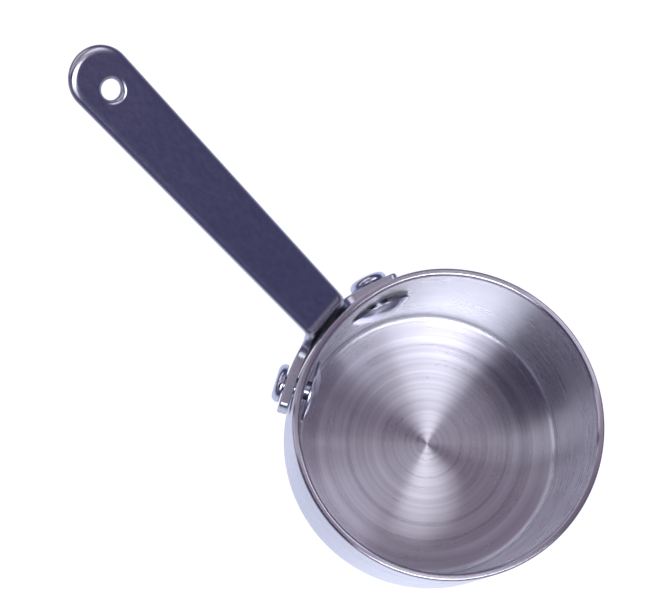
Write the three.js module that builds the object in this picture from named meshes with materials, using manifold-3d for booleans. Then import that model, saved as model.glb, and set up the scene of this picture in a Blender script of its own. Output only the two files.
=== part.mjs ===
// Mini saucepan in stainless steel: a drawn round pan, and one long strip handle
// whose lower end is a T shaped bracket, held to the wall by two solid rivets.
//
// Frame: millimetres, +Z up. The origin is the middle of the pan's flat underside
// and the handle runs out along +X.

import * as THREE from 'three';
import * as BufferGeometryUtils from 'three/addons/utils/BufferGeometryUtils.js';
import Module from 'manifold-3d';

const wasm = await Module();
wasm.setup();

const { clamp, degToRad, lerp, smoothstep } = THREE.MathUtils;
const QUARTER = Math.PI / 2;
const GAP = 0.3;

// Pan: one drawn shell
const PAN_RADIUS = 45;
const PAN_HEIGHT = 55;
const WALL = 2.2;
const OUTER_CORNER = 5;
const INNER_CORNER = OUTER_CORNER - WALL;
const RIM_OUTER_ROUND = 0.7;
const RIM_INNER_ROUND = 0.5;
const PAN_SIDES = 96;
const CORNER_STEPS = 8;
const RIM_STEPS = 3;
const WALL_STEPS = 6;

// Seat: above the rivets the wall is drawn in a little behind the handle
const SEAT_DEPTH = 1.1;
const SEAT_HALF_ANGLE = degToRad(45);
const SEAT_START = 20;

// Handle: a punched blank of thick strip, folded once and wrapped on the wall
const STRIP = 3;
const STRIP_EDGE_REACH = 2.3;
const STRIP_EDGE_DEPTH = 1.35;
const EDGE_STEPS = 4;
const FACE_STEPS = 8;
const HANDLE_RISE = degToRad(31);
const STRIP_LENGTH = 102.65;
const WIDTH_AT_BEND = 15.2;
const WIDTH_AT_TIP = 17.9;
const TIP_STEPS = 14;
const BEND_RADIUS = 5.3;
const BEND_HEIGHT = 52.5;
const BEND_STEPS = 8;

// Hole near the far end, to hang the pan by
const HANG_HOLE_RADIUS = 2.8;
const HANG_HOLE_ROUND = 1.4;
const HANG_HOLE_FROM_END = 13;
const HANG_HOLE_SIDES = 32;
const HANG_HOLE_STEPS = 4;

// Bracket arms, each with a rivet through it
const RIVET_ANGLE = degToRad(24);
const RIVET_HEIGHT = 34;
const ARM_HEIGHT = 13;
const ARM_PAST_RIVET = 8;
const ARM_SEAT = 45.1;
const ARM_EDGE_ROUND = 0.6;
const ARM_CORNER = 2;
const ARM_CORNER_STEPS = 5;
const ARM_STEPS = 10;
const NECK_FILLET = 5;
const NECK_STEPS = 5;

// Rivets: a wide low dome inside the pan, a thick shank and a button head outside
const SHANK_RADIUS = 3;
const INNER_HEAD_RADIUS = 9.4;
const INNER_HEAD_EDGE = 0.6;
const INNER_HEAD_DOME = 2.2;
const INNER_HEAD_SEAT = 41.05;
const DOME_STEPS = 8;
const OUTER_HEAD_RADIUS = 5.8;
const OUTER_HEAD_HEIGHT = 2.6;
const OUTER_HEAD_ROUND = 2;
const OUTER_HEAD_FOOT = 0.4;
const BUTTON_STEPS = 5;
const RIVET_SIDES = 40;

function brushedSteel(name, color, roughness) {
  const material = new THREE.MeshStandardMaterial({ color, roughness, metalness: 1 });
  material.name = name;
  return material;
}

// Evenly spaced values, both ends included.
function evenSteps(from, to, count) {
  return Array.from({ length: count + 1 }, (_, i) => from + ((to - from) * i) / count);
}

// Points of an arc, both ends included.
function arc(x, y, radius, from, to, steps) {
  return evenSteps(from, to, steps).map((angle) => (
    new THREE.Vector2(x + radius * Math.cos(angle), y + radius * Math.sin(angle))
  ));
}

// One closed body: shared corners merged, and triangles with no area left out.
function closed(geometry) {
  const bare = geometry.clone();
  bare.deleteAttribute('normal');
  bare.deleteAttribute('uv');
  const merged = BufferGeometryUtils.mergeVertices(bare, 1e-4);
  const corners = merged.index.array;
  const kept = [];
  for (let i = 0; i < corners.length; i += 3) {
    const [a, b, c] = [corners[i], corners[i + 1], corners[i + 2]];
    if (a !== b && b !== c && c !== a) kept.push(a, b, c);
  }
  merged.setIndex(kept);
  return merged;
}

function toSolid(geometry) {
  const body = closed(geometry);
  return new wasm.Manifold(new wasm.Mesh({
    numProp: 3,
    vertProperties: new Float32Array(body.attributes.position.array),
    triVerts: new Uint32Array(body.index.array),
  }));
}

function toGeometry(solid) {
  const mesh = solid.getMesh();
  const geometry = new THREE.BufferGeometry();
  geometry.setAttribute('position', new THREE.BufferAttribute(mesh.vertProperties, 3));
  geometry.setIndex(new THREE.BufferAttribute(mesh.triVerts, 1));
  geometry.computeVertexNormals();
  return geometry;
}

function cutAway(solid, cutters) {
  return cutters.map(toSolid).reduce((left, cutter) => left.subtract(cutter), solid);
}

// The clearance hole of a rivet through wall and bracket, on one side of the handle.
function rivetBore(side) {
  const radius = SHANK_RADIUS + GAP;
  const bore = new THREE.CylinderGeometry(radius, radius, PAN_RADIUS, RIVET_SIDES);
  bore.rotateZ(-QUARTER);
  bore.translate(PAN_RADIUS, 0, RIVET_HEIGHT);
  return bore.rotateZ(side * RIVET_ANGLE);
}

// Pan body

// How far the wall is drawn in, at an angle from the handle and at a height.
function seatPress(angle, height) {
  const across = Math.cos(clamp(angle / SEAT_HALF_ANGLE, -1, 1) * QUARTER) ** 2;
  return SEAT_DEPTH * across * smoothstep(height, SEAT_START, PAN_HEIGHT);
}

// Section of the pan, from the middle of the underside round to the middle of the floor.
function panSection() {
  const inside = PAN_RADIUS - WALL;
  const rimLow = PAN_HEIGHT - RIM_OUTER_ROUND;
  const heights = evenSteps(OUTER_CORNER, rimLow, WALL_STEPS).slice(1, -1);
  const outerRim = PAN_RADIUS - RIM_OUTER_ROUND;
  const innerRim = inside + RIM_INNER_ROUND;
  const innerRimLow = PAN_HEIGHT - RIM_INNER_ROUND;
  const outerFoot = PAN_RADIUS - OUTER_CORNER;
  return [
    new THREE.Vector2(0, 0),
    ...arc(outerFoot, OUTER_CORNER, OUTER_CORNER, -QUARTER, 0, CORNER_STEPS),
    ...heights.map((height) => new THREE.Vector2(PAN_RADIUS, height)),
    ...arc(outerRim, rimLow, RIM_OUTER_ROUND, 0, QUARTER, RIM_STEPS),
    ...arc(innerRim, innerRimLow, RIM_INNER_ROUND, QUARTER, 2 * QUARTER, RIM_STEPS),
    ...heights.reverse().map((height) => new THREE.Vector2(inside, height)),
    ...arc(inside - INNER_CORNER, OUTER_CORNER, INNER_CORNER, 0, -QUARTER, CORNER_STEPS),
    new THREE.Vector2(0, WALL),
  ];
}

function panBody() {
  const shell = new THREE.LatheGeometry(panSection(), PAN_SIDES);
  shell.rotateX(QUARTER);
  const position = shell.attributes.position;
  const point = new THREE.Vector3();
  for (let i = 0; i < position.count; i += 1) {
    point.fromBufferAttribute(position, i);
    const radius = Math.hypot(point.x, point.y);
    const press = seatPress(Math.atan2(point.y, point.x), point.z);
    const shrink = press > 0 ? (radius - press) / radius : 1;
    position.setXY(i, point.x * shrink, point.y * shrink);
  }
  return toGeometry(cutAway(toSolid(shell), [rivetBore(1), rivetBore(-1)]));
}

// Handle: laid out as a flat T shaped blank, then folded and wrapped

const MIDDLE = ARM_SEAT + STRIP / 2;
const ARM_LOW = RIVET_HEIGHT - ARM_HEIGHT / 2;
const ARM_END = MIDDLE * RIVET_ANGLE + ARM_PAST_RIVET;
const BEND_TURN = QUARTER - HANDLE_RISE;
const BEND_START = BEND_HEIGHT - ARM_LOW;
const BEND_END = BEND_START + BEND_RADIUS * BEND_TURN;
const BLANK_END = BEND_END + STRIP_LENGTH;
const TIP_RADIUS = WIDTH_AT_TIP / 2;
const TIP_START = BLANK_END - TIP_RADIUS;

// Takes a point of the blank to its place. The point is given along the handle from the
// arms' lower edge, across it, and proud of the middle of the strip. The fold turns the
// bracket into the rising strip. The wrap lays the cross bar round the wall as far as
// the rivets, and leaves the arms straight beyond them.
function bend(along, across, proud) {
  const turn = BEND_TURN * clamp((along - BEND_START) / (BEND_END - BEND_START), 0, 1);
  const rise = Math.min(along, BEND_START) + BEND_RADIUS * Math.sin(turn);
  const straight = Math.max(along - BEND_END, 0);
  const foldX = MIDDLE + BEND_RADIUS * (1 - Math.cos(turn)) + straight * Math.sin(turn);
  const foldZ = ARM_LOW + rise + straight * Math.cos(turn);

  const wrapped = 1 - smoothstep(along, ARM_HEIGHT, BEND_START);
  const angle = clamp(across / MIDDLE, -RIVET_ANGLE, RIVET_ANGLE);
  const past = across - angle * MIDDLE;
  const wrapX = MIDDLE * (Math.cos(angle) - 1) - past * Math.sin(angle);
  const wrapY = MIDDLE * Math.sin(angle) + past * Math.cos(angle);

  const inward = proud * Math.cos(turn);
  return new THREE.Vector3(
    foldX + wrapped * wrapX - inward * Math.cos(angle * wrapped),
    lerp(across, wrapY, wrapped) - inward * Math.sin(angle * wrapped),
    foldZ + proud * Math.sin(turn),
  );
}

// An oval edge, from the side of the strip to its face: how far each step is set in from
// the side, and how proud of the middle it stands.
function roundedEdge(reach, depth) {
  return evenSteps(0, QUARTER, EDGE_STEPS).map((angle) => ({
    inset: reach * (1 - Math.cos(angle)),
    proud: STRIP / 2 - depth * (1 - Math.sin(angle)),
  }));
}

const STRIP_EDGE = roundedEdge(STRIP_EDGE_REACH, STRIP_EDGE_DEPTH);
const ARM_EDGE = roundedEdge(ARM_EDGE_ROUND, ARM_EDGE_ROUND);

// How proud such an edge stands at a distance in from the outline.
function edgeProud(reach, depth, inset) {
  const left = Math.max(1 - inset / reach, 0);
  return STRIP / 2 - depth * (1 - Math.sqrt(1 - left ** 2));
}

// Ring round a section of the strip, from its half width at each step of the rounded edge.
function sectionRing(halves, prouds, place) {
  const last = EDGE_STEPS;
  const across = evenSteps(halves[last], -halves[last], FACE_STEPS).slice(1, -1);
  const face = [
    ...halves.map((half, step) => [half, prouds[step]]),
    ...across.map((half) => [half, prouds[last]]),
    ...halves.map((half, step) => [-half, prouds[step]]).reverse(),
  ];
  const back = face.map(([half, proud]) => [half, -proud]).reverse();
  return [...face, ...back].map(([half, proud]) => place(half, proud));
}

// Skin over a row of rings, closed with a fan at both ends.
function loft(rings) {
  const count = rings[0].length;
  const points = rings.flat();
  const lastRing = points.length - count;
  const corners = [];
  for (let first = 0; first < lastRing; first += count) {
    for (let i = 0; i < count; i += 1) {
      const [a, b] = [first + i, first + ((i + 1) % count)];
      corners.push(a, b, b + count, a, b + count, a + count);
    }
  }
  const middle = (ring) => (
    ring.reduce((sum, point) => sum.add(point), new THREE.Vector3()).divideScalar(count)
  );
  const [nearMiddle, farMiddle] = [points.length, points.length + 1];
  points.push(middle(rings[0]), middle(rings[rings.length - 1]));
  for (let i = 0; i < count; i += 1) {
    const next = (i + 1) % count;
    corners.push(next, i, nearMiddle, lastRing + i, lastRing + next, farMiddle);
  }
  const geometry = new THREE.BufferGeometry().setFromPoints(points);
  geometry.setIndex(corners);
  return geometry;
}

// Half width of the strip below its round end: tapered, and flared where it meets the arms.
function stripHalfWidth(along) {
  const share = clamp((along - BEND_START) / (TIP_START - BEND_START), 0, 1);
  const above = clamp(along - ARM_HEIGHT, 0, NECK_FILLET);
  const flare = NECK_FILLET - Math.sqrt(NECK_FILLET ** 2 - (NECK_FILLET - above) ** 2);
  return lerp(WIDTH_AT_BEND, WIDTH_AT_TIP, share) / 2 + flare;
}

// The root of the strip runs on inside the cross bar, thinned to stay under its faces.
function rootRings() {
  const rows = [[ARM_HEIGHT / 2, 0.9], [ARM_HEIGHT - 2 * ARM_EDGE_ROUND, 0.96]];
  return rows.map(([along, thinned]) => sectionRing(
    ARM_EDGE.map(({ inset }) => WIDTH_AT_BEND / 2 - inset),
    ARM_EDGE.map(({ proud }) => proud * thinned),
    (across, proud) => bend(along, across, proud),
  ));
}

// The strip through the neck and the bend, up to where its round end starts. Its edges are
// rounded more from the bend on, where it is held.
function bodyRings() {
  const rows = [
    ...evenSteps(ARM_HEIGHT, ARM_HEIGHT + NECK_FILLET, NECK_STEPS),
    ...evenSteps(BEND_START, BEND_END, BEND_STEPS),
    TIP_START,
  ];
  return rows.map((along) => {
    const held = smoothstep(along, ARM_HEIGHT + NECK_FILLET, BEND_END);
    const edge = roundedEdge(
      lerp(ARM_EDGE_ROUND, STRIP_EDGE_REACH, held),
      lerp(ARM_EDGE_ROUND, STRIP_EDGE_DEPTH, held),
    );
    return sectionRing(
      edge.map(({ inset }) => stripHalfWidth(along) - inset),
      edge.map(({ proud }) => proud),
      (across, proud) => bend(along, across, proud),
    );
  });
}

// The full round end, with its edge rounded over like the sides.
function tipRings() {
  return evenSteps(0, QUARTER, TIP_STEPS).slice(1).map((angle) => {
    const reach = TIP_RADIUS * Math.sin(angle);
    const halfAt = (inset) => Math.sqrt(Math.max((TIP_RADIUS - inset) ** 2 - reach ** 2, 0));
    const proudAt = (inset) => (
      edgeProud(STRIP_EDGE_REACH, STRIP_EDGE_DEPTH, Math.min(inset, TIP_RADIUS - reach))
    );
    return sectionRing(
      STRIP_EDGE.map(({ inset }) => halfAt(inset)),
      STRIP_EDGE.map(({ inset }) => proudAt(inset)),
      (across, proud) => bend(TIP_START + reach, across, proud),
    );
  });
}

// One end of the cross bar, from the arm's end in: round corners and a rounded edge.
function armEndRings(side) {
  const middle = ARM_HEIGHT / 2;
  return evenSteps(0, QUARTER, ARM_CORNER_STEPS).map((angle) => {
    const depth = ARM_CORNER * (1 - Math.cos(angle));
    const halfAt = (inset) => {
      const round = (ARM_CORNER - inset) ** 2 - (ARM_CORNER - depth) ** 2;
      return middle - ARM_CORNER + Math.sqrt(Math.max(round, 0));
    };
    const proudAt = (inset) => edgeProud(ARM_EDGE_ROUND, ARM_EDGE_ROUND, Math.min(inset, depth));
    return sectionRing(
      ARM_EDGE.map(({ inset }) => halfAt(inset)),
      ARM_EDGE.map(({ inset }) => proudAt(inset)),
      (half, proud) => bend(middle + half, side * (ARM_END - depth), proud),
    );
  });
}

// The cross bar of the T, wrapped on the wall from one arm's end to the other's.
function crossBar() {
  const middle = ARM_HEIGHT / 2;
  const wrap = MIDDLE * RIVET_ANGLE;
  const between = evenSteps(wrap, -wrap, ARM_STEPS).map((across) => sectionRing(
    ARM_EDGE.map(({ inset }) => middle - inset),
    ARM_EDGE.map(({ proud }) => proud),
    (half, proud) => bend(middle + half, across, proud),
  ));
  return loft([...armEndRings(1), ...between, ...armEndRings(-1).reverse()]);
}

// The punch for the hanging hole flares at both ends, and so leaves it with rounded edges.
function hangHole() {
  const side = HANG_HOLE_RADIUS + HANG_HOLE_ROUND;
  const flareAt = STRIP / 2 - HANG_HOLE_ROUND;
  const past = STRIP / 2 + HANG_HOLE_ROUND;
  const punch = new THREE.LatheGeometry([
    new THREE.Vector2(0, -past),
    new THREE.Vector2(side, -past),
    ...arc(side, -flareAt, HANG_HOLE_ROUND, 3 * QUARTER, 2 * QUARTER, HANG_HOLE_STEPS),
    ...arc(side, flareAt, HANG_HOLE_ROUND, 2 * QUARTER, QUARTER, HANG_HOLE_STEPS),
    new THREE.Vector2(side, past),
    new THREE.Vector2(0, past),
  ], HANG_HOLE_SIDES);
  punch.rotateX(QUARTER);
  punch.rotateY(-HANDLE_RISE);
  const centre = bend(BLANK_END - HANG_HOLE_FROM_END, 0, 0);
  return punch.translate(centre.x, centre.y, centre.z);
}

function handle() {
  const strip = loft([...rootRings(), ...bodyRings(), ...tipRings()]);
  const blank = toSolid(strip).add(toSolid(crossBar()));
  return toGeometry(cutAway(blank, [hangHole(), rivetBore(1), rivetBore(-1)]));
}

// Rivet: lathed about its own axis, which then points out along +X
function rivet() {
  const edge = INNER_HEAD_SEAT - INNER_HEAD_EDGE;
  const crown = (INNER_HEAD_RADIUS ** 2 + INNER_HEAD_DOME ** 2) / (2 * INNER_HEAD_DOME);
  const domeCentre = edge - INNER_HEAD_DOME + crown;
  const domeEnd = Math.asin(INNER_HEAD_RADIUS / crown) - QUARTER;
  const foot = ARM_SEAT + STRIP + GAP;
  const top = foot + OUTER_HEAD_HEIGHT;
  const shoulder = OUTER_HEAD_RADIUS - OUTER_HEAD_ROUND;
  const turned = new THREE.LatheGeometry([
    new THREE.Vector2(0, domeCentre - crown),
    ...arc(0, domeCentre, crown, -QUARTER, domeEnd, DOME_STEPS).slice(1),
    new THREE.Vector2(INNER_HEAD_RADIUS, INNER_HEAD_SEAT),
    new THREE.Vector2(SHANK_RADIUS, INNER_HEAD_SEAT),
    new THREE.Vector2(SHANK_RADIUS, foot),
    new THREE.Vector2(OUTER_HEAD_RADIUS - OUTER_HEAD_FOOT, foot),
    new THREE.Vector2(OUTER_HEAD_RADIUS, foot + OUTER_HEAD_FOOT),
    ...arc(shoulder, top - OUTER_HEAD_ROUND, OUTER_HEAD_ROUND, 0, QUARTER, BUTTON_STEPS),
    new THREE.Vector2(0, top),
  ], RIVET_SIDES);
  turned.rotateZ(-QUARTER);
  return toGeometry(toSolid(turned));
}

const saucepan = new THREE.Group();

const pan = new THREE.Mesh(panBody(), brushedSteel('pan_steel', 0xb9bac6, 0.32));
pan.name = 'pan_body';
saucepan.add(pan);

const grip = new THREE.Mesh(handle(), brushedSteel('handle_steel', 0x6d6f86, 0.42));
grip.name = 'handle';
saucepan.add(grip);

[['rivet_left', 1], ['rivet_right', -1]].forEach(([name, side]) => {
  const fastener = new THREE.Mesh(rivet(), brushedSteel('rivet_steel', 0xa9aab6, 0.22));
  fastener.name = name;
  fastener.position.z = RIVET_HEIGHT;
  fastener.rotation.z = side * RIVET_ANGLE;
  saucepan.add(fastener);
});

export default saucepan;
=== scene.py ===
# %% [markdown]
# # A mini saucepan in stainless steel
# The object is a small round serving pan. A long strip handle is riveted to its wall.
# We load the measured solids first, and they stay as the fixed frame. Then each piece is
# made again as a smooth surface, because polished steel shows every facet of a coarse
# mesh. The sizes of the pieces are written in millimetres. The meshes, the camera and the
# floor are in metres, with the origin in the middle of the pan's underside, +Z up and the
# handle along +X.

# %% Load the solids
import math

import bpy
import numpy as np
from mathutils import Matrix, Vector


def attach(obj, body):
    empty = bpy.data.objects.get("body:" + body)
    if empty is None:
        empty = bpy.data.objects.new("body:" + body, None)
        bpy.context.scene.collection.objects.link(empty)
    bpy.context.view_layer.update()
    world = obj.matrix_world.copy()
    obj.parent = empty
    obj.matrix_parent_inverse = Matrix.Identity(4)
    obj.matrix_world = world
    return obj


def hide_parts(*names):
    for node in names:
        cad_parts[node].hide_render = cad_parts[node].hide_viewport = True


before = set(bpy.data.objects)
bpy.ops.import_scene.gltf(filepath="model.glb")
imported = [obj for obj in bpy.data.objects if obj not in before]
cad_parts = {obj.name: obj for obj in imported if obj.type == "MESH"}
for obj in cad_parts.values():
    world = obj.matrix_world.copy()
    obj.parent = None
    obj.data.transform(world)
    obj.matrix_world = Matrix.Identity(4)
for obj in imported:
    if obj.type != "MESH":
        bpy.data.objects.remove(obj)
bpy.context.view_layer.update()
print("solids:", sorted(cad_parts))

# %% [markdown]
# ## Camera
# The photograph looks down into the pan from close to the upright. The three turns and
# the shift below take a point of the pan to the camera. They were found by laying the
# rim, the floor's edge and the handle over the photograph. A Blender camera wants the
# opposite, its own place seen from the pan, so the turn is transposed.

# %% Place the camera
PHOTO_WIDTH_PX = 671
FOCAL_PX = 1885.5
SENSOR_MM = 36.0
HANDLE_TURN = math.radians(138.77)
TIPPED_FORWARD, TIPPED_SIDEWAYS = -0.187, 0.075
PAN_IN_VIEW = Vector((0.028499, -0.043009, -0.5924))
pan_to_camera = (
    Matrix.Rotation(TIPPED_SIDEWAYS, 3, "Y")
    @ Matrix.Rotation(TIPPED_FORWARD, 3, "X")
    @ Matrix.Rotation(HANDLE_TURN, 3, "Z")
)

camera_data = bpy.data.cameras.new("camera")
camera_data.sensor_fit = "HORIZONTAL"
camera_data.sensor_width = SENSOR_MM
camera_data.lens = FOCAL_PX * SENSOR_MM / PHOTO_WIDTH_PX
camera = bpy.data.objects.new("camera", camera_data)
camera_to_pan = pan_to_camera.transposed()
camera.matrix_world = Matrix.Translation(-(camera_to_pan @ PAN_IN_VIEW)) @ camera_to_pan.to_4x4()
bpy.context.scene.collection.objects.link(camera)
bpy.context.scene.camera = camera
camera_place = [round(c, 3) for c in camera.matrix_world.translation]
print("camera at", camera_place, "with a lens of", round(camera_data.lens, 1), "mm")

# %% [markdown]
# ## From grids of points to a closed mesh
# Every piece below is made of patches. A patch is a grid of points with the normal at
# each one, both worked out as whole arrays. Neighbouring points make a quad. Points of
# two patches that coincide are welded, so a piece ends as one closed skin. The normals
# go into the mesh too, so that a flat floor stays flat right up to its rounding.

# %% A helper that joins patches
MM = 0.001
WELD_DECIMALS = 4
UV_PER_MM = 0.01


def join_patches(name, patches):
    """One closed mesh from (points, normals, extra) grids of the shape rows by columns by 3.

    The first two columns of extra are the UV map called lay, in mm, and the third is the
    attribute edge, 1 on a rubbed edge.
    Quads join each point to the next one in its row and column. Points nearer than a
    tenth of a micrometre are one vertex, and a quad that loses a side at a pole becomes
    a triangle. A quad that faces against its normals is turned round.
    """
    starts = np.cumsum([0] + [p[0].shape[0] * p[0].shape[1] for p in patches])
    quads = []
    for (points, _, _), start in zip(patches, starts):
        rows, columns = points.shape[:2]
        index = start + np.arange(rows * columns).reshape(rows, columns)
        corners = (index[:-1, :-1], index[1:, :-1], index[1:, 1:], index[:-1, 1:])
        quads.append(np.stack(corners, axis=-1).reshape(-1, 4))
    quads = np.concatenate(quads)
    points, normals, extra = (
        np.concatenate([p[part].reshape(-1, p[part].shape[-1]) for p in patches]) for part in range(3)
    )
    diagonals = points[quads[:, 2]] - points[quads[:, 0]], points[quads[:, 3]] - points[quads[:, 1]]
    facing = np.einsum("ij,ij->i", np.cross(*diagonals), normals[quads].sum(axis=1))
    quads[facing < 0] = quads[facing < 0][:, ::-1]
    welded = np.round(points, WELD_DECIMALS)
    _, first, merged = np.unique(welded, axis=0, return_index=True, return_inverse=True)
    quads = merged.reshape(-1)[quads]
    lost = np.stack([quads[:, k] == quads[:, (k + 1) % 4] for k in range(4)], axis=1)
    faces = quads[~lost.any(axis=1)].tolist()
    for k in range(4):
        thin = lost[:, k] & (lost.sum(axis=1) == 1)
        faces += np.delete(quads[thin], k, axis=1).tolist()
    mesh = bpy.data.meshes.new(name)
    mesh.from_pydata((points[first] * MM).tolist(), [], faces)
    mesh.polygons.foreach_set("use_smooth", np.ones(len(mesh.polygons), dtype=bool))
    mesh.normals_split_custom_set_from_vertices(normals[first].tolist())
    corner_vertex = np.empty(len(mesh.loops), dtype=np.int32)
    mesh.loops.foreach_get("vertex_index", corner_vertex)
    lay = (extra[first][:, :2] * UV_PER_MM)[corner_vertex]
    mesh.uv_layers.new(name="lay").data.foreach_set("uv", lay.astype(np.float32).ravel())
    edge = mesh.attributes.new("edge", "FLOAT", "POINT")
    edge.data.foreach_set("value", extra[first][:, 2].astype(np.float32))
    piece = bpy.data.objects.new(name, mesh)
    bpy.context.scene.collection.objects.link(piece)
    size = (np.ptp(points, axis=0)).round(1).tolist()
    print(name, "has", len(mesh.vertices), "vertices and", len(faces), "faces, and measures", size, "mm")
    return piece


def spread(stops, counts):
    """Evenly spaced values from each stop to the next, each stop taken once."""
    runs = [np.linspace(a, b, n, endpoint=False) for a, b, n in zip(stops, stops[1:], counts)]
    return np.concatenate(runs + [[stops[-1]]])


def smooth_step(value, low, high):
    """Rises from 0 at low to 1 at high with level ends: 3 t squared minus 2 t cubed."""
    t = np.clip((value - low) / (high - low), 0.0, 1.0)
    return t * t * (3.0 - 2.0 * t)


# %% [markdown]
# ## Pan body
# The real pan is drawn from one disc of sheet, then spun while its floor and wall are
# brushed, and its rim is trimmed and broken. A lathe section turned round the axis is
# the natural surface. Behind the handle the wall is drawn in by about a millimetre, as
# the photograph shows at the rim, so each ring is pushed in there before it is closed.
# Inside, the wall leans in a little on its way down. This puts the floor's edge where the
# photograph shows it.

# %% The pan's section
PAN_RADIUS, PAN_HEIGHT, WALL = 45.0, 55.0, 2.2
OUTER_CORNER, INNER_CORNER, RIM_OUTER, RIM_INNER = 5.0, 2.2, 0.7, 0.9
WALL_DRAFT = math.radians(1.9)
SEAT_DEPTH, SEAT_HALF_ANGLE, SEAT_START = 1.1, math.radians(45), 20.0
FLAT_POINTS, WALL_POINTS, CORNER_STEPS, RIM_STEPS = 24, 40, 20, 8
SAME_POINT = 1e-6


def line_run(start, end, normal, shares):
    """Points on a straight line at the given shares of its length, all with one normal."""
    start, end = np.array(start), np.array(end)
    points = start + (end - start) * np.asarray(shares)[:, None]
    return points, np.broadcast_to(np.array(normal, float), points.shape)


def arc_run(centre, radius, first, last, steps, facing=1.0):
    """Points on an arc between two angles in degrees. The normal is the ray from the centre,
    or the opposite where facing is -1."""
    angle = np.radians(np.linspace(first, last, steps + 1))
    ray = np.stack([np.cos(angle), np.sin(angle)], axis=1)
    return np.array(centre) + radius * ray, facing * ray


def join_runs(runs):
    """Points and normals of all runs in a row. A point that repeats the one before is left out."""
    points, normals = (np.concatenate([run[part] for run in runs]) for part in range(2))
    step = np.linalg.norm(np.diff(points, axis=0), axis=1)
    apart = np.concatenate([[True], step > SAME_POINT])
    return points[apart], normals[apart]


def pan_section():
    """Radius and height from the middle of the underside, round the rim, to the floor's middle.

    The inner wall leans in by the draft on its way down, and both its arcs stop at that lean.
    """
    foot = PAN_RADIUS - OUTER_CORNER
    lean = math.degrees(WALL_DRAFT)
    side, rise = math.cos(WALL_DRAFT), math.sin(WALL_DRAFT)
    rim_at = PAN_RADIUS - WALL + RIM_INNER, PAN_HEIGHT - RIM_INNER
    wall_top = rim_at[0] - RIM_INNER * side, rim_at[1] + RIM_INNER * rise
    wall_low = WALL + INNER_CORNER * (1 - rise)
    wall_foot = wall_top[0] - (wall_top[1] - wall_low) * math.tan(WALL_DRAFT), wall_low
    floor_edge = wall_foot[0] - INNER_CORNER * side
    flat = np.linspace(0.0, 1.0, FLAT_POINTS)
    upright = np.linspace(0.0, 1.0, WALL_POINTS)
    rim_low = PAN_HEIGHT - RIM_OUTER
    return join_runs([
        line_run((0.0, 0.0), (foot, 0.0), (0, -1), flat),
        arc_run((foot, OUTER_CORNER), OUTER_CORNER, -90, 0, CORNER_STEPS),
        line_run((PAN_RADIUS, OUTER_CORNER), (PAN_RADIUS, rim_low), (1, 0), upright),
        arc_run((PAN_RADIUS - RIM_OUTER, rim_low), RIM_OUTER, 0, 90, RIM_STEPS),
        arc_run(rim_at, RIM_INNER, 90, 180 - lean, RIM_STEPS),
        line_run(wall_top, wall_foot, (-side, rise), upright),
        arc_run((floor_edge, WALL + INNER_CORNER), INNER_CORNER, -lean, -90, CORNER_STEPS, facing=-1.0),
        line_run((floor_edge, WALL), (0.0, WALL), (0, 1), flat),
    ])


section, section_normal = pan_section()
print("the section has", len(section), "points, from", section[0], "to", section[-1])

# %% The pan, turned round its axis
PAN_SIDES = 288
SLOPE_STEP = 0.01
NEAR_AXIS = 1.0
CORNER_RUBBED = 0.2
LAY_RADIUS = 10.0


def turn_pan():
    """Radius r and height z of the section go to (r cos a, r sin a, z) for angles a all round.

    Near the handle r loses depth times cos squared of the angle times a smooth rise in z.
    There the normal leans by the slope of that loss in z and swings by its slope round the pan.
    """
    angle = np.linspace(-np.pi, np.pi, PAN_SIDES + 1)
    radius, height = section[:, :1], section[:, 1:]
    across = np.cos(np.clip(angle / SEAT_HALF_ANGLE, -1, 1) * np.pi / 2) ** 2
    depth = SEAT_DEPTH * across
    press = depth * smooth_step(height, SEAT_START, PAN_HEIGHT)
    pressed = radius - press
    points = np.stack([pressed * np.cos(angle), pressed * np.sin(angle), height + 0 * press], axis=-1)
    points[:, -1] = points[:, 0]
    flat, up = section_normal[:, :1], section_normal[:, 1:]
    higher = smooth_step(height + SLOPE_STEP, SEAT_START, PAN_HEIGHT)
    lower = smooth_step(height - SLOPE_STEP, SEAT_START, PAN_HEIGHT)
    lean = flat * depth * (higher - lower) / (2 * SLOPE_STEP)
    swing = flat * np.gradient(press, angle, axis=1) / np.maximum(radius, NEAR_AXIS)
    normals = np.stack([
        flat * np.cos(angle) - swing * np.sin(angle),
        flat * np.sin(angle) + swing * np.cos(angle),
        up + lean,
    ], axis=-1)
    normals /= np.linalg.norm(normals, axis=-1, keepdims=True)
    length = np.concatenate([[0], np.cumsum(np.linalg.norm(np.diff(section, axis=0), axis=1))])
    rim = np.exp(-(((section[:, 1] - PAN_HEIGHT) / RIM_OUTER) ** 2))
    corner = 2 * CORNER_RUBBED * np.abs(section_normal[:, 0] * section_normal[:, 1])
    edge = np.maximum(rim, corner)
    extra = np.stack(np.broadcast_arrays(length[:, None], angle * LAY_RADIUS, edge[:, None]), axis=-1)
    return points, normals, extra


pan = join_patches("pan_steel_body", [turn_pan()])
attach(pan, "root")
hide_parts("pan_body")

# %% [markdown]
# ## Handle
# The real handle is punched from thick strip as a flat T, tumbled so that its edges are
# round, folded once and wrapped on the wall. We do the same. The T is laid out flat with
# two coordinates, along the handle and across it, and a third that says how proud a point
# is of the middle of the strip. One function then folds and wraps every point at once.

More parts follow.
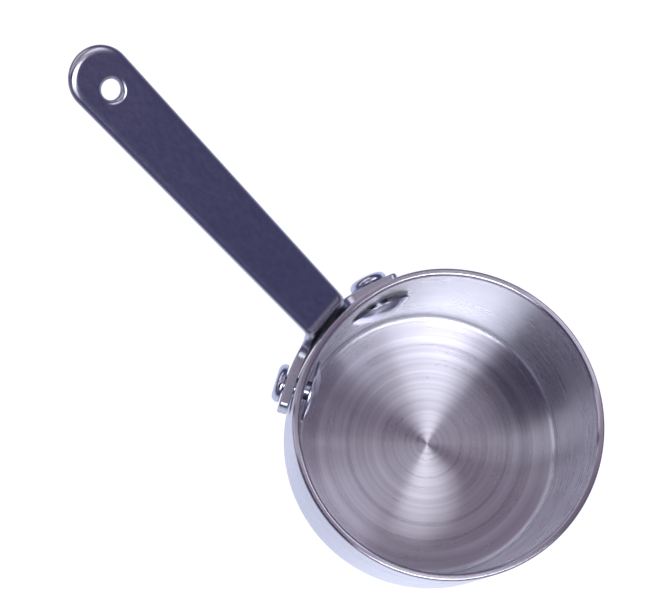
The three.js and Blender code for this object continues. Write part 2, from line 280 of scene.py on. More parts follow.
# %% The fold and the wrap
STRIP = 3.0
HANDLE_RISE = math.radians(31)
ARM_SEAT, ARM_HEIGHT, ARM_PAST_RIVET = 45.1, 13.0, 8.0
RIVET_ANGLE, RIVET_HEIGHT = math.radians(24), 34.0
BEND_RADIUS, BEND_HEIGHT, STRIP_LENGTH = 5.3, 52.5, 102.6
MIDDLE = ARM_SEAT + STRIP / 2
ARM_LOW = RIVET_HEIGHT - ARM_HEIGHT / 2
ARM_END = MIDDLE * RIVET_ANGLE + ARM_PAST_RIVET
BEND_TURN = math.pi / 2 - HANDLE_RISE
BEND_START = BEND_HEIGHT - ARM_LOW
BEND_END = BEND_START + BEND_RADIUS * BEND_TURN
BLANK_END = BEND_END + STRIP_LENGTH


def fold(across, along, proud):
    """Place of points of the flat T.

    The fold is an arc of BEND_RADIUS in the upright plane, then a straight rise. The wrap
    lays the cross bar on a circle round the pan as far as the rivets and runs straight on
    from there. It fades out between the arms' top edge and the fold.
    """
    turn = BEND_TURN * np.clip((along - BEND_START) / (BEND_END - BEND_START), 0, 1)
    straight = np.maximum(along - BEND_END, 0)
    out = MIDDLE + BEND_RADIUS * (1 - np.cos(turn)) + straight * np.sin(turn)
    up = ARM_LOW + np.minimum(along, BEND_START) + BEND_RADIUS * np.sin(turn) + straight * np.cos(turn)
    wrapped = 1 - smooth_step(along, ARM_HEIGHT, BEND_START)
    angle = np.clip(across / MIDDLE, -RIVET_ANGLE, RIVET_ANGLE)
    past = across - angle * MIDDLE
    wrap_x = MIDDLE * (np.cos(angle) - 1) - past * np.sin(angle)
    wrap_y = MIDDLE * np.sin(angle) + past * np.cos(angle)
    inward = proud * np.cos(turn)
    x = out + wrapped * wrap_x - inward * np.cos(angle * wrapped)
    y = across + wrapped * (wrap_y - across) - inward * np.sin(angle * wrapped)
    return np.stack([x, y, up + proud * np.sin(turn)], axis=-1)


def fold_patch(across, along, proud, normal, edge):
    """A folded patch of the T. Its normals turn with the fold: they are taken apart along
    the three directions of the blank, whose folded directions are small differences of fold."""
    across, along, proud, edge = np.broadcast_arrays(across, along, proud, edge)
    tiny = 1e-3
    normals = np.zeros(across.shape + (3,))
    for part, shift in enumerate(np.eye(3) * tiny):
        ahead = fold(across + shift[0], along + shift[1], proud + shift[2])
        behind = fold(across - shift[0], along - shift[1], proud - shift[2])
        step = ahead - behind
        step /= np.linalg.norm(step, axis=-1, keepdims=True)
        normals += np.broadcast_to(normal[part], across.shape)[..., None] * step
    normals /= np.linalg.norm(normals, axis=-1, keepdims=True)
    extra = np.stack([along, across, edge], axis=-1)
    return fold(across, along, proud), normals, extra


tip = fold(np.array(0.0), np.array(BLANK_END), np.array(0.0))
print("the far end of the handle is at", tip.round(1).tolist(), "mm")

# %% [markdown]
# ## Layout of the flat T
# The edge is rounded a little on the bracket and much more where the strip is held. There
# it reaches further on to the face than it is deep. The flat faces stop where it starts.
# They are three grids that share their border points: the cross bar, the neck with the
# strip, and a ring of rays round the hanging hole that also fills the round end. The
# rounded edge is one more grid, an oval profile carried along the whole outline.

# %% Widths and edges of the T
WIDTH_AT_BEND, WIDTH_AT_TIP = 15.2, 17.9
NECK_FILLET, ARM_CORNER = 5.0, 2.0
ARM_EDGE, STRIP_EDGE_REACH, STRIP_EDGE_DEPTH = 0.6, 2.3, 1.35
HOLE_RADIUS, HOLE_ROUND, HOLE_FROM_END, HOLE_RING_REACH = 2.8, 1.4, 13.0, 8.5
NECK_COLUMNS, ARM_COLUMNS, CORNER_POINTS, BAR_ROWS = 29, 14, 7, 17
FILLET_POINTS, NECK_ROWS, BEND_ROWS, STRIP_ROWS = 13, 5, 24, 40
TIP_SIDE_ROWS, TIP_POINTS, RING_POINTS = 14, 61, 9
TIP_RADIUS = WIDTH_AT_TIP / 2
TIP_START = BLANK_END - TIP_RADIUS
HOLE_AT = BLANK_END - HOLE_FROM_END
HOLE_RING_FROM = HOLE_AT - HOLE_RING_REACH


def edge_size(along):
    """Reach on the face and depth of the oval edge: both grow from the neck to the fold's end."""
    held = smooth_step(along, ARM_HEIGHT + NECK_FILLET, BEND_END)
    reach = ARM_EDGE + (STRIP_EDGE_REACH - ARM_EDGE) * held
    depth = ARM_EDGE + (STRIP_EDGE_DEPTH - ARM_EDGE) * held
    return reach, depth


def face_half_width(along):
    """Half width of the flat face: the strip widens evenly from the fold to the round end,
    and the face stops short of its side by the reach of the edge."""
    share = np.clip((along - BEND_START) / (TIP_START - BEND_START), 0, 1)
    return (WIDTH_AT_BEND + (WIDTH_AT_TIP - WIDTH_AT_BEND) * share) / 2 - edge_size(along)[0]


print("half width of the face at the round end:", round(float(face_half_width(TIP_START)), 2), "mm")

# %% The cross bar
# columns across it, each from its lower to its upper border
neck_half = WIDTH_AT_BEND / 2 + NECK_FILLET
neck_share = np.linspace(-1, 1, NECK_COLUMNS)
corner_turn = np.radians(np.linspace(0, 90, CORNER_POINTS))
arm_column = spread([neck_half, ARM_END - ARM_CORNER], [ARM_COLUMNS])[1:-1]
corner_column = ARM_END - ARM_CORNER + (ARM_CORNER - ARM_EDGE) * np.sin(corner_turn)
arm_half = np.concatenate([arm_column, corner_column])
arm_turn = np.concatenate([0 * arm_column, corner_turn])
bar_column = np.concatenate([-arm_half[::-1], neck_half * neck_share, arm_half])
bar_turn = np.concatenate([-arm_turn[::-1], 0 * neck_share, arm_turn])
bar_low = ARM_CORNER - (ARM_CORNER - ARM_EDGE) * np.cos(bar_turn)
bar_share = np.linspace(0, 1, BAR_ROWS)
bar_along = bar_low[:, None] + (ARM_HEIGHT - 2 * bar_low[:, None]) * bar_share
bar_across = np.broadcast_to(bar_column[:, None], bar_along.shape)
print("the cross bar has", bar_along.shape, "columns and rows, and is", round(2 * ARM_END, 1), "mm long")

# %% The neck and the strip
# rows up the handle, the first ones along the fillets
fillet_turn = np.radians(np.linspace(0, 90, FILLET_POINTS))
fillet_along = ARM_HEIGHT + NECK_FILLET - (NECK_FILLET + ARM_EDGE) * np.cos(fillet_turn)
fillet_half = neck_half - (NECK_FILLET + ARM_EDGE) * np.sin(fillet_turn)
strip_stops = [ARM_HEIGHT + NECK_FILLET, BEND_START, BEND_END, HOLE_RING_FROM]
strip_along = spread(strip_stops, [NECK_ROWS, BEND_ROWS, STRIP_ROWS])[1:]
row_along = np.concatenate([fillet_along, strip_along])
row_half = np.concatenate([fillet_half, face_half_width(strip_along)])
strip_across = row_half[:, None] * neck_share
strip_rows = np.broadcast_to(row_along[:, None], strip_across.shape)
print("the strip has", strip_across.shape, "rows and columns")

# %% The ring round the hole
# rays from the hole to the border of the face, all the way round
side_along = spread([HOLE_RING_FROM, TIP_START], [TIP_SIDE_ROWS])[1:]
tip_turn = np.radians(np.linspace(0, 180, TIP_POINTS)[1:-1])
face_tip = TIP_RADIUS - STRIP_EDGE_REACH
border_across = np.concatenate([
    row_half[-1] * neck_share, face_half_width(side_along), face_tip * np.cos(tip_turn),
    -face_half_width(side_along)[::-1], [-row_half[-1]],
])
border_along = np.concatenate([
    np.full(len(neck_share), HOLE_RING_FROM), side_along, TIP_START + face_tip * np.sin(tip_turn),
    side_along[::-1], [HOLE_RING_FROM],
])
ray = np.stack([border_across, border_along - HOLE_AT], axis=-1)
ray /= np.linalg.norm(ray, axis=-1, keepdims=True)
ring_share = np.linspace(0, 1, RING_POINTS)
flare = HOLE_RADIUS + HOLE_ROUND
ring_across = flare * ray[:, :1] * (1 - ring_share) + border_across[:, None] * ring_share
border_past_hole = border_along[:, None] - HOLE_AT
ring_along = HOLE_AT + flare * ray[:, 1:] * (1 - ring_share) + border_past_hole * ring_share
print("the ring has", ring_across.shape, "rays and points")

# %% Profile of the rounded edge
EDGE_POINTS = 13
RUBBED_FROM_LEAN = 0.35


def edge_profile(reach, depth):
    """Oval profile of an edge: how far out of the face's border, how proud, its normal.

    A quarter oval, reach wide and depth deep, runs from the upper face to the side, the
    side is straight, and a second quarter oval runs to the lower face. The normal of an
    oval at the angle t is (sin t / reach, cos t / depth), made one long.
    """
    turn = np.radians(np.linspace(0, 90, EDGE_POINTS))
    upper = STRIP / 2 - depth + depth * np.cos(turn)
    proud = np.concatenate([upper, -upper[..., ::-1]], axis=-1)
    lean_out, lean_up = np.sin(turn) / reach, np.cos(turn) / depth
    lean = np.hypot(lean_out, lean_up)
    lean_out, lean_up = lean_out / lean, lean_up / lean
    out = reach * np.concatenate([np.sin(turn), np.sin(turn)[::-1]])
    normal_out = np.concatenate([lean_out, lean_out[..., ::-1]], axis=-1)
    normal_up = np.concatenate([lean_up, -lean_up[..., ::-1]], axis=-1)
    return out, proud, normal_out, normal_up


# %% The border of the face as one path
# across, along and the direction out of the T at each point
upper_right = slice(len(bar_column) - len(arm_half), None)
arm_end = 0 * bar_share[1:-1]
right_path = np.concatenate([
    np.stack([bar_column[upper_right], bar_low[upper_right], np.sin(arm_turn), -np.cos(arm_turn)], 1),
    np.stack([arm_end + ARM_END - ARM_EDGE, bar_along[-1, 1:-1], arm_end + 1, arm_end], 1),
    np.stack([arm_half, ARM_HEIGHT - bar_low[upper_right], np.sin(arm_turn), np.cos(arm_turn)], 1)[::-1],
    np.stack([fillet_half, fillet_along, np.sin(fillet_turn), np.cos(fillet_turn)], 1),
    np.stack([face_half_width(strip_along), strip_along, 1 + 0 * strip_along, 0 * strip_along], 1),
    np.stack([face_half_width(side_along), side_along, 1 + 0 * side_along, 0 * side_along], 1),
])
half_tip = np.stack([face_tip * np.cos(tip_turn), TIP_START + face_tip * np.sin(tip_turn),
                     np.cos(tip_turn), np.sin(tip_turn)], 1)
under = 0 * neck_share
under_neck = np.stack([neck_half * neck_share, under + ARM_EDGE, under, under - 1], 1)
left_path = right_path[::-1] * np.array([-1, 1, -1, 1])
path = np.concatenate([under_neck, right_path, half_tip, left_path, under_neck[:1]])
print("the border runs through", len(path), "points")

# %% Carry the profile along the border and round the hole
out, proud, normal_out, normal_up = edge_profile(*edge_size(path[:, 1:2]))
edge_patch = fold_patch(
    path[:, :1] + path[:, 2:3] * out, path[:, 1:2] + path[:, 3:] * out, proud,
    (path[:, 2:3] * normal_out, path[:, 3:] * normal_out, normal_up),
    smooth_step(normal_out, 0.0, RUBBED_FROM_LEAN),
)
out, proud, normal_out, normal_up = edge_profile(HOLE_ROUND, HOLE_ROUND)
hole_patch = fold_patch(
    ray[:, :1] * (flare - out), HOLE_AT + ray[:, 1:] * (flare - out), proud,
    (-ray[:, :1] * normal_out, -ray[:, 1:] * normal_out, normal_up),
    smooth_step(normal_out, 0.0, RUBBED_FROM_LEAN),
)
print("the edge has", edge_patch[0].shape[:2], "points, and the hole", hole_patch[0].shape[:2])

# %% Fold the T and join it
flat_faces = [
    fold_patch(across, along, side * STRIP / 2, (0.0, 0.0, float(side)), 0.0)
    for across, along in (
        (bar_across, bar_along), (strip_across, strip_rows), (ring_across, ring_along),
    )
    for side in (1, -1)
]
handle = join_patches("handle_strip", flat_faces + [edge_patch, hole_patch])
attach(handle, "root")
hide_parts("handle")

# %% [markdown]
# ## Rivets
# Each real rivet is one turned pin. Its wide, low dome was made before it was pushed
# through from inside, and its outer button was pressed on. We turn one section round the
# rivet's own axis and aim the axis out through the bracket, once to each side.

# %% The two rivets
SHANK_RADIUS, HEAD_GAP = 3.0, 0.3
DOME_RADIUS, DOME_EDGE, DOME_RISE, DOME_SEAT, DOME_BROKEN = 9.4, 0.6, 2.2, 40.6, 0.25
BUTTON_RADIUS, BUTTON_HEIGHT, BUTTON_ROUND, BUTTON_FOOT = 5.8, 2.6, 2.0, 0.4
RIVET_SIDES, DOME_STEPS, BROKEN_STEPS, FOOT_STEPS, BUTTON_STEPS = 96, 40, 4, 5, 16


def rivet_section():
    """Radius and distance out along the rivet, from the top of the dome to the button's middle."""
    crown = (DOME_RADIUS ** 2 + DOME_RISE ** 2) / (2 * DOME_RISE)
    dome_edge = DOME_SEAT - DOME_EDGE
    reach = math.degrees(math.asin(DOME_RADIUS / crown))
    foot = ARM_SEAT + STRIP + HEAD_GAP
    top = foot + BUTTON_HEIGHT
    under_dome, dome_side = DOME_RADIUS - DOME_BROKEN, DOME_SEAT - DOME_BROKEN
    under_button, on_button = BUTTON_RADIUS - BUTTON_FOOT, BUTTON_RADIUS - BUTTON_ROUND
    points, normals = join_runs([
        arc_run((0.0, dome_edge - DOME_RISE + crown), crown, -90, reach - 90, DOME_STEPS),
        line_run((DOME_RADIUS, dome_edge), (DOME_RADIUS, dome_side), (1, 0), [0.1, 0.9]),
        arc_run((under_dome, dome_side), DOME_BROKEN, 0, 90, BROKEN_STEPS),
        line_run((under_dome, DOME_SEAT), (SHANK_RADIUS, DOME_SEAT), (0, 1), [0.05, 0.5, 1.0]),
        line_run((SHANK_RADIUS, DOME_SEAT), (SHANK_RADIUS, foot), (1, 0), [0.01, 0.5, 0.99]),
        line_run((SHANK_RADIUS, foot), (under_button, foot), (0, -1), [0.0, 0.5, 0.95]),
        arc_run((under_button, foot + BUTTON_FOOT), BUTTON_FOOT, -90, 0, FOOT_STEPS),
        arc_run((on_button, top - BUTTON_ROUND), BUTTON_ROUND, 0, 90, BUTTON_STEPS),
        line_run((on_button, top), (0.0, top), (0, 1), [0.05, 0.3, 0.6, 1.0]),
    ])
    points[0, 0] = 0.0
    return points, normals


def turn_rivet(side):
    """The section turned round the line that leaves the pan's axis at the rivet's angle."""
    points, normals = rivet_section()
    angle = np.linspace(0, 2 * np.pi, RIVET_SIDES + 1)
    aim = side * RIVET_ANGLE
    outward = np.array([math.cos(aim), math.sin(aim), 0.0])
    sideways = np.array([-math.sin(aim), math.cos(aim), 0.0])
    upward = np.array([0.0, 0.0, 1.0])
    spoke = np.cos(angle)[:, None] * sideways + np.sin(angle)[:, None] * upward
    spoke[-1] = spoke[0]
    place = points[:, :1, None] * spoke + points[:, 1:, None] * outward + RIVET_HEIGHT * upward
    facing = normals[:, :1, None] * spoke + normals[:, 1:, None] * outward
    extra = np.stack(np.broadcast_arrays(points[:, :1], angle * LAY_RADIUS, 0.0), axis=-1)
    return place, facing, extra


rivets = []
for name, side in (("rivet_left", 1), ("rivet_right", -1)):
    rivet = join_patches(name + "_steel", [turn_rivet(side)])
    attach(rivet, "root")
    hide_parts(name)
    rivets.append(rivet)

# %% [markdown]
# ## Brushed lines, marks and worn edges
# All the steel here was brushed or tumbled. Brushing leaves fine lines that run one way,
# handling leaves soft patches, and rubbing brightens the edges. These are node groups,
# so each finish can use them with its own scale. The first one reads a coordinate that
# counts across the lines and lets a noise change quickly there. Its wander says how fast
# the noise changes along them: slowly for long lines, fast for a tumbled grain.

# %% Helpers for node trees


def new_group(name, inputs, outputs):
    """An empty shader node group with the given (name, socket type, default) sockets."""
    group = bpy.data.node_groups.new(name, "ShaderNodeTree")
    for label, kind, default in inputs:
        socket = group.interface.new_socket(label, in_out="INPUT", socket_type=kind)
        if default is not None:
            socket.default_value = default
    for label in outputs:
        group.interface.new_socket(label, in_out="OUTPUT", socket_type="NodeSocketFloat")
    return group, group.nodes.new("NodeGroupInput"), group.nodes.new("NodeGroupOutput")


def math_node(tree, operation, first, second=None, third=None):
    """A Math node whose inputs are sockets or plain numbers. Returns its output."""
    node = tree.nodes.new("ShaderNodeMath")
    node.operation = operation
    for socket, value in zip(node.inputs, (first, second, third)):
        if isinstance(value, bpy.types.NodeSocket):
            tree.links.new(value, socket)
        elif value is not None:
            socket.default_value = value
    return node.outputs[0]


def scaled_vector(tree, vector, scale):
    """The vector times a number, which may be a socket."""
    node = tree.nodes.new("ShaderNodeVectorMath")
    node.operation = "SCALE"
    tree.links.new(vector, node.inputs[0])
    if isinstance(scale, bpy.types.NodeSocket):
        tree.links.new(scale, node.inputs["Scale"])
    else:
        node.inputs["Scale"].default_value = scale
    return node.outputs[0]


def stretched_noise(tree, vector, detail, low, high):
    """A noise of scale 1 on the vector, with its values from low to high stretched to 0 to 1."""
    noise = tree.nodes.new("ShaderNodeTexNoise")
    noise.inputs["Scale"].default_value = 1.0
    noise.inputs["Detail"].default_value = detail
    tree.links.new(vector, noise.inputs["Vector"])
    stretch = tree.nodes.new("ShaderNodeMapRange")
    stretch.inputs["From Min"].default_value = low
    stretch.inputs["From Max"].default_value = high
    tree.links.new(noise.outputs["Fac"], stretch.inputs["Value"])
    return stretch.outputs["Result"]


def ramp(tree, value, low, high):
    """Rises smoothly from 0 at low to 1 at high, or falls if high is below low."""
    node = tree.nodes.new("ShaderNodeMapRange")
    node.interpolation_type = "SMOOTHSTEP"
    node.inputs["From Min"].default_value = min(low, high)
    node.inputs["From Max"].default_value = max(low, high)
    node.inputs["To Min"].default_value = float(low > high)
    node.inputs["To Max"].default_value = float(low < high)
    tree.links.new(value, node.inputs["Value"])
    return node.outputs["Result"]


# %% Node groups for the finishes
LINE_SHARE, BAND_SIZE, LINE_LOW, LINE_HIGH = 0.5, 1 / 3, 0.15, 0.85
MARKS_PER_METRE, MARK_DETAIL, MARK_LOW, MARK_HIGH = 60.0, 4.0, 0.3, 0.7
WEAR_PER_METRE, WEAR_DETAIL, WEAR_LOW, WEAR_HIGH = 150.0, 1.0, -0.6, 0.45


def brushed_lines():
    """Tone and height of brushed lines, each from 0 to 1.

    Two noises are read at (coordinate times fineness, place times wander): one for the
    single lines, one three times coarser for bands of lines.
    """
    group, ends, result = new_group(
        "brushed_lines",
        [("Across Lines", "NodeSocketFloat", 0.0), ("Place", "NodeSocketVector", None),
         ("Fineness", "NodeSocketFloat", 200.0), ("Wander", "NodeSocketFloat", 20.0)],
        ["Tone", "Height"],
    )
    parts = group.nodes.new("ShaderNodeSeparateXYZ")
    wandering = scaled_vector(group, ends.outputs["Place"], ends.outputs["Wander"])
    group.links.new(wandering, parts.inputs[0])
    counted = math_node(group, "MULTIPLY", ends.outputs["Across Lines"], ends.outputs["Fineness"])
    place = group.nodes.new("ShaderNodeCombineXYZ")
    group.links.new(counted, place.inputs["X"])
    group.links.new(parts.outputs["X"], place.inputs["Y"])
    group.links.new(parts.outputs["Y"], place.inputs["Z"])
    single, bands = (
        stretched_noise(group, scaled_vector(group, place.outputs[0], size), 0.0, LINE_LOW, LINE_HIGH)
        for size in (1.0, BAND_SIZE)
    )
    weaker_bands = math_node(group, "MULTIPLY", bands, 1 - LINE_SHARE)
    tone = math_node(group, "MULTIPLY_ADD", single, LINE_SHARE, weaker_bands)
    group.links.new(tone, result.inputs["Tone"])
    group.links.new(single, result.inputs["Height"])
    return group


def handling_marks():
    """Slow patches from 0 to 1, as fingers and cloths leave on steel: a noise of a given size."""
    group, ends, result = new_group(
        "handling_marks",
        [("Place", "NodeSocketVector", None), ("Per Metre", "NodeSocketFloat", MARKS_PER_METRE)],
        ["Patch"],
    )
    place = scaled_vector(group, ends.outputs["Place"], ends.outputs["Per Metre"])
    patch = stretched_noise(group, place, MARK_DETAIL, MARK_LOW, MARK_HIGH)
    group.links.new(patch, result.inputs["Patch"])
    return group


def worn_edge():
    """Mask of a rubbed edge: the edge attribute, thinned a little here and there by a noise."""
    group, ends, result = new_group(
        "worn_edge",
        [("Edge", "NodeSocketFloat", 0.0), ("Place", "NodeSocketVector", None)],
        ["Worn"],
    )
    place = scaled_vector(group, ends.outputs["Place"], WEAR_PER_METRE)
    rubbed = stretched_noise(group, place, WEAR_DETAIL, WEAR_LOW, WEAR_HIGH)
    group.links.new(math_node(group, "MULTIPLY", ends.outputs["Edge"], rubbed), result.inputs["Worn"])
    return group


lines_group, marks_group, edge_group = brushed_lines(), handling_marks(), worn_edge()
print("node groups:", [g.name for g in bpy.data.node_groups])

# %% [markdown]
# ## Steel finishes
# One function makes all three finishes, since they are the same alloy. What changes is the
# tint, how rough the surface is, how fine the lines are and which way they run. Lines
# spread a reflection across them, and this makes the bright fans on the pan's floor. So
# the shader is anisotropic. Its tangent runs along the lines, round the pan's axis or
# along the strip, and a quarter turn sets the wide side of the reflection across them.

# %% Helpers that place a group and mix two colours


def place_group(tree, group, **values):
    """A node of the given group, with sockets linked or set by name."""
    node = tree.nodes.new("ShaderNodeGroup")
    node.node_tree = group
    for label, value in values.items():
        socket = node.inputs[label.replace("_", " ")]
        if isinstance(value, bpy.types.NodeSocket):
            tree.links.new(value, socket)
        else:
            socket.default_value = value
    return node.outputs


def colour_mix(tree, factor, first, second):
    """A Mix node between two colours, each a socket or three numbers."""
    node = tree.nodes.new("ShaderNodeMix")
    node.data_type = "RGBA"
    tree.links.new(factor, node.inputs["Factor"])
    for socket, value in zip((node.inputs["A"], node.inputs["B"]), (first, second)):
        if isinstance(value, bpy.types.NodeSocket):
            tree.links.new(value, socket)
        else:
            socket.default_value = (*value, 1.0)
    return node.outputs["Result"]


# %% One function for every steel
PATCH_ROUGH = 0.02
QUARTER_TURN = 0.25
# painted light: much lighter base colours for the pan's upright wall, so that it shows brighter than the
# floor
PAINTED_LIGHT_WALL_DARK, PAINTED_LIGHT_WALL_LIGHT = (0.80, 0.81, 0.86), (0.96, 0.97, 1.00)


def steel(name, dark, light, rough, edge, edge_rough, anisotropy, lines_run, fineness, wander, relief_mm):
    """A brushed steel.

    The lines move its colour from dark to light and its roughness between the two values
    of rough. Patches add a little roughness. Worn edges have the colour edge, and edge_rough
    is added to their roughness. lines_run is ROUND for lines round the pan's axis, where
    upright surfaces get a painted light, a base colour much lighter than the floor's, so the
    wall is brighter than the floor, or ALONG for lines along the strip.
    """
    material = bpy.data.materials.new(name)
    material.use_nodes = True
    tree = material.node_tree
    shader = tree.nodes["Principled BSDF"]
    shader.inputs["Metallic"].default_value = 1.0
    shader.inputs["Anisotropic"].default_value = anisotropy
    shader.inputs["Anisotropic Rotation"].default_value = QUARTER_TURN
    coordinates = tree.nodes.new("ShaderNodeTexCoord")
    place = coordinates.outputs["Object"]
    lay = tree.nodes.new("ShaderNodeUVMap")
    lay.uv_map = "lay"
    lay_parts = tree.nodes.new("ShaderNodeSeparateXYZ")
    tree.links.new(lay.outputs[0], lay_parts.inputs[0])
    count = lay_parts.outputs["X" if lines_run == "ROUND" else "Y"]
    near_edge = tree.nodes.new("ShaderNodeAttribute")
    near_edge.attribute_name = "edge"

    lines = place_group(
        tree, lines_group, Across_Lines=count, Place=place, Fineness=fineness, Wander=wander,
    )
    marks = place_group(tree, marks_group, Place=place)
    worn = place_group(tree, edge_group, Edge=near_edge.outputs["Fac"], Place=place)["Worn"]

    tint = colour_mix(tree, lines["Tone"], dark, light)
    brushed = math_node(tree, "MULTIPLY_ADD", lines["Tone"], rough[1] - rough[0], rough[0])
    # painted light: the more upright the surface, the more its colour moves to the lighter painted wall
    # colours
    if lines_run == "ROUND":
        facing = tree.nodes.new("ShaderNodeSeparateXYZ")
        tree.links.new(coordinates.outputs["Normal"], facing.inputs[0])
        level = math_node(tree, "MULTIPLY", facing.outputs["Z"], facing.outputs["Z"])
        upright = math_node(tree, "SQRT", math_node(tree, "SUBTRACT", 1.0, level))
        painted_light_wall_tint = colour_mix(tree, lines["Tone"], PAINTED_LIGHT_WALL_DARK, PAINTED_LIGHT_WALL_LIGHT)
        tint = colour_mix(tree, upright, tint, painted_light_wall_tint)
    tree.links.new(colour_mix(tree, worn, tint, edge), shader.inputs["Base Color"])

    handled = math_node(tree, "MULTIPLY_ADD", marks["Patch"], PATCH_ROUGH, brushed)
    roughness = math_node(tree, "MULTIPLY_ADD", worn, edge_rough, handled)
    tree.links.new(roughness, shader.inputs["Roughness"])

    relief = tree.nodes.new("ShaderNodeBump")
    relief.inputs["Distance"].default_value = relief_mm * MM
    tree.links.new(lines["Height"], relief.inputs["Height"])
    tree.links.new(relief.outputs[0], shader.inputs["Normal"])

    direction = tree.nodes.new("ShaderNodeTangent")
    if lines_run == "ROUND":
        direction.direction_type = "RADIAL"
        direction.axis = "Z"
    else:
        direction.direction_type = "UV_MAP"
        direction.uv_map = "lay"
    tree.links.new(direction.outputs[0], shader.inputs["Tangent"])
    return material


# %% The three steels
pan_steel = steel(
    "pan_steel", dark=(0.41, 0.40, 0.46), light=(0.71, 0.71, 0.77), rough=(0.25, 0.29),
    edge=(0.56, 0.55, 0.61), edge_rough=-0.09, anisotropy=1.0,
    lines_run="ROUND", fineness=105.0, wander=14.0, relief_mm=0.001,
)
strip_steel = steel(
    "strip_steel", dark=(0.44, 0.45, 0.53), light=(0.58, 0.58, 0.66), rough=(0.18, 0.23),
    edge=(0.56, 0.57, 0.64), edge_rough=0.03, anisotropy=0.3,
    lines_run="ALONG", fineness=220.0, wander=1400.0, relief_mm=0.001,
)
rivet_steel = steel(
    "rivet_steel", dark=(0.60, 0.62, 0.72), light=(0.70, 0.72, 0.82), rough=(0.12, 0.17),
    edge=(0.70, 0.72, 0.82), edge_rough=0.0, anisotropy=0.0,
    lines_run="ALONG", fineness=60.0, wander=60.0, relief_mm=0.002,
)
pan.data.materials.append(pan_steel)
handle.data.materials.append(strip_steel)
for rivet in rivets:
    rivet.data.materials.append(rivet_steel)
print("finishes:", pan_steel.name, strip_steel.name, rivet_steel.name)

# %% [markdown]
# ## Floor
# The photograph is a cut-out on white with one broad soft light in a dim room. Steel has
# almost no colour of its own, so the surroundings are most of what we see. The floor is
# white to the camera and still takes a shadow. The steel mirrors it with a painted light:
# a glow that is pale blue near the pan and gets darker away from it.

# %% The floor's plane
FLOOR_HALF = 3.0
FLOOR_SINK = 0.0002
floor_mesh = bpy.data.meshes.new("floor")
corner = np.array([[-1, -1], [1, -1], [1, 1], [-1, 1]]) * FLOOR_HALF
corner = np.column_stack([corner, np.full(len(corner), -FLOOR_SINK)])
floor_mesh.from_pydata(corner.tolist(), [], [(0, 1, 2, 3)])
floor = bpy.data.objects.new("floor", floor_mesh)
bpy.context.scene.collection.objects.link(floor)
print("the floor is", 2 * FLOOR_HALF, "m wide")

# %% The floor's paper
PAPER_COLOUR, PAPER_ROUGH = (0.25, 0.25, 0.26), 0.9
# painted light: after the white, the two glow colours are what the steel mirrors of the floor, pale blue
# near the pan and darker further out
PAPER_WHITE, PAINTED_GLOW_NEAR, PAINTED_GLOW_FAR = (0.92, 0.92, 0.92), (0.57, 0.61, 0.76), (0.22, 0.22, 0.30)
PAINTED_GLOW_NEAR_TO, PAINTED_GLOW_FAR_FROM = 0.09, 0.28
white = bpy.data.materials.new("white_paper")
white.use_nodes = True
tree = white.node_tree
paper = tree.nodes["Principled BSDF"]
paper.inputs["Base Color"].default_value = (*PAPER_COLOUR, 1.0)
paper.inputs["Roughness"].default_value = PAPER_ROUGH
paper.inputs["Specular IOR Level"].default_value = 0.0
from_pan = tree.nodes.new("ShaderNodeVectorMath")
from_pan.operation = "LENGTH"
tree.links.new(tree.nodes.new("ShaderNodeTexCoord").outputs["Object"], from_pan.inputs[0])
far = ramp(tree, from_pan.outputs["Value"], PAINTED_GLOW_NEAR_TO, PAINTED_GLOW_FAR_FROM)
ray_kind = tree.nodes.new("ShaderNodeLightPath").outputs
# painted reflection: reflections see the floor glow pale blue near the pan and darker away from it, in
# place of light and shade on the paper
painted_glow_mirrored = colour_mix(tree, far, PAINTED_GLOW_NEAR, PAINTED_GLOW_FAR)
glow_colour = colour_mix(tree, ray_kind["Is Camera Ray"], painted_glow_mirrored, PAPER_WHITE)
seen = math_node(tree, "MAXIMUM", ray_kind["Is Camera Ray"], ray_kind["Is Glossy Ray"])
seen = math_node(tree, "MAXIMUM", seen, ray_kind["Is Transmission Ray"])
glow = tree.nodes.new("ShaderNodeEmission")
tree.links.new(glow_colour, glow.inputs["Color"])
tree.links.new(seen, glow.inputs["Strength"])
both = tree.nodes.new("ShaderNodeAddShader")
tree.links.new(paper.outputs[0], both.inputs[0])
tree.links.new(glow.outputs[0], both.inputs[1])
tree.links.new(both.outputs[0], tree.nodes["Material Output"].inputs["Surface"])
floor_mesh.materials.append(white)
print("the paper is bright within", PAINTED_GLOW_NEAR_TO, "m of the axis")

# %% [markdown]
# ## The room
# Polished steel is a map of the room around it. The bright fans on the pan's floor have
# sharp sides, so they mirror a window with straight sides. The dark fan beside them mirrors
# a dim part of the room, and the handle lies dark because it faces another. So the room
# is painted by direction: each panel has a range round the pan and a range above the
# table, in degrees, with soft borders, and a brightness. The window is a stack of panels
# that narrow upwards. The near fan mirrors only its upper part, and so is the smaller one.

# %% Panels of the room
HORIZON_UP_TO, ZENITH_AT = 34.0, 90.0
ZENITH, HORIZON, WINDOW = (0.30, 0.24, 0.30), (0.082, 0.078, 0.17), (6.3, 6.3, 6.6)
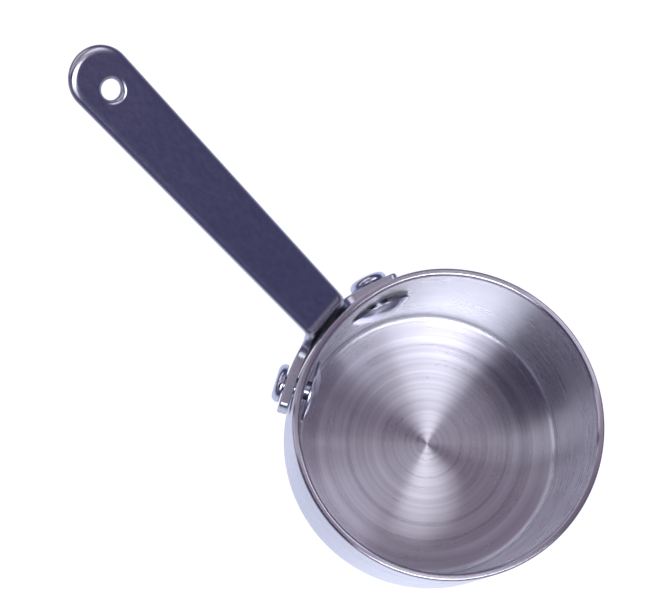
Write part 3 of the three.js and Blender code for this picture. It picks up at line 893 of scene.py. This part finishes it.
# each panel: from and to round the pan, from and to above the table, soft border, colour
PANELS = {
    "window_low": (93, 136, 40, 60, 2.0, (1.3, 1.35, 1.55)),
    "window_sill": (93, 176, 59, 62, 1.5, WINDOW),
    "window_second": (96, 170, 59, 65, 1.5, WINDOW),
    "window_third": (101, 162, 59, 68, 1.5, WINDOW),
    "window_fourth": (104, 154, 59, 71, 1.5, WINDOW),
    "window_fifth": (105, 146, 59, 74, 1.5, WINDOW),
    "window_top": (106, 132, 59, 78, 1.5, WINDOW),
    "dark_gap": (53, 92, 40, 95, 1.5, (0.03, 0.02, 0.06)),
    "gap_low": (53, 92, 12, 40, 2.0, (0.20, 0.17, 0.22)),
    "board_left": (36, 53, 20, 95, 1.5, (0.80, 0.76, 0.85)),
    "board_edge": (26, 32, 20, 95, 1.5, (0.74, 0.70, 0.79)),
    "dark_line": (32, 36, 20, 95, 1.0, (0.04, 0.03, 0.05)),
    "board_far": (-29, 26, 20, 70, 3.0, (0.33, 0.26, 0.33)),
    "board_low": (-29, 26, 24, 48, 3.0, (0.95, 0.90, 1.00)),
    "board_back": (-79, -30, 40, 76, 3.0, (0.46, 0.42, 0.49)),
    "doorway": (-126, -81, 40, 76, 4.0, (1.55, 1.46, 1.66)),
    "board_right": (-154, -127, 45, 68, 3.0, (0.52, 0.46, 0.53)),
    "low_wall": (140, 201, -5, 16, 2.0, (0.28, 0.25, 0.29)),
}
print("the room has", len(PANELS), "panels:", ", ".join(PANELS))

# %% Where a direction lies, round the pan and above the table
SEAM_AT, HALF_TURN = 203.5, 180.0
# a shift for the camera's slant: an upright side of a panel shows as a ray from the floor's middle
FAN_OUT_FROM = (0.018, 0.166, 0.0)
world = bpy.data.worlds.new("room")
bpy.context.scene.world = world
world.use_nodes = True
tree = world.node_tree
look = tree.nodes.new("ShaderNodeTexCoord").outputs["Generated"]
look_up = tree.nodes.new("ShaderNodeSeparateXYZ")
tree.links.new(look, look_up.inputs[0])
above = math_node(tree, "ARCSINE", look_up.outputs["Z"])
above = math_node(tree, "MULTIPLY", above, math.degrees(1.0))
shifted = tree.nodes.new("ShaderNodeVectorMath")
shifted.inputs[1].default_value = FAN_OUT_FROM
tree.links.new(look, shifted.inputs[0])
turned = tree.nodes.new("ShaderNodeVectorRotate")
turned.rotation_type = "Z_AXIS"
turned.inputs["Angle"].default_value = math.radians(HALF_TURN - SEAM_AT)
tree.links.new(shifted.outputs[0], turned.inputs["Vector"])
look_flat = tree.nodes.new("ShaderNodeSeparateXYZ")
tree.links.new(turned.outputs[0], look_flat.inputs[0])
around = math_node(tree, "ARCTAN2", look_flat.outputs["Y"], look_flat.outputs["X"])
around = math_node(tree, "MULTIPLY_ADD", around, math.degrees(1.0), SEAM_AT - HALF_TURN)
print("directions count from", SEAM_AT - 2 * HALF_TURN, "to", SEAM_AT, "degrees round the pan")

# %% Paint the panels


def between(tree, value, low, high, soft):
    """1 between low and high, 0 outside, with soft borders on both."""
    rise = ramp(tree, value, low - soft, low + soft)
    fall = ramp(tree, value, high + soft, high - soft)
    return math_node(tree, "MULTIPLY", rise, fall)


room_colour = colour_mix(tree, ramp(tree, above, HORIZON_UP_TO, ZENITH_AT), HORIZON, ZENITH)
for low, high, bottom, top, soft, colour in PANELS.values():
    width = between(tree, around, low, high, soft)
    height = between(tree, above, bottom, top, soft)
    inside = math_node(tree, "MULTIPLY", width, height)
    room_colour = colour_mix(tree, inside, room_colour, colour)
tree.links.new(room_colour, tree.nodes["Background"].inputs["Color"])
bpy.context.scene.view_settings.view_transform = "Standard"
print("the world has", len(tree.nodes), "nodes")
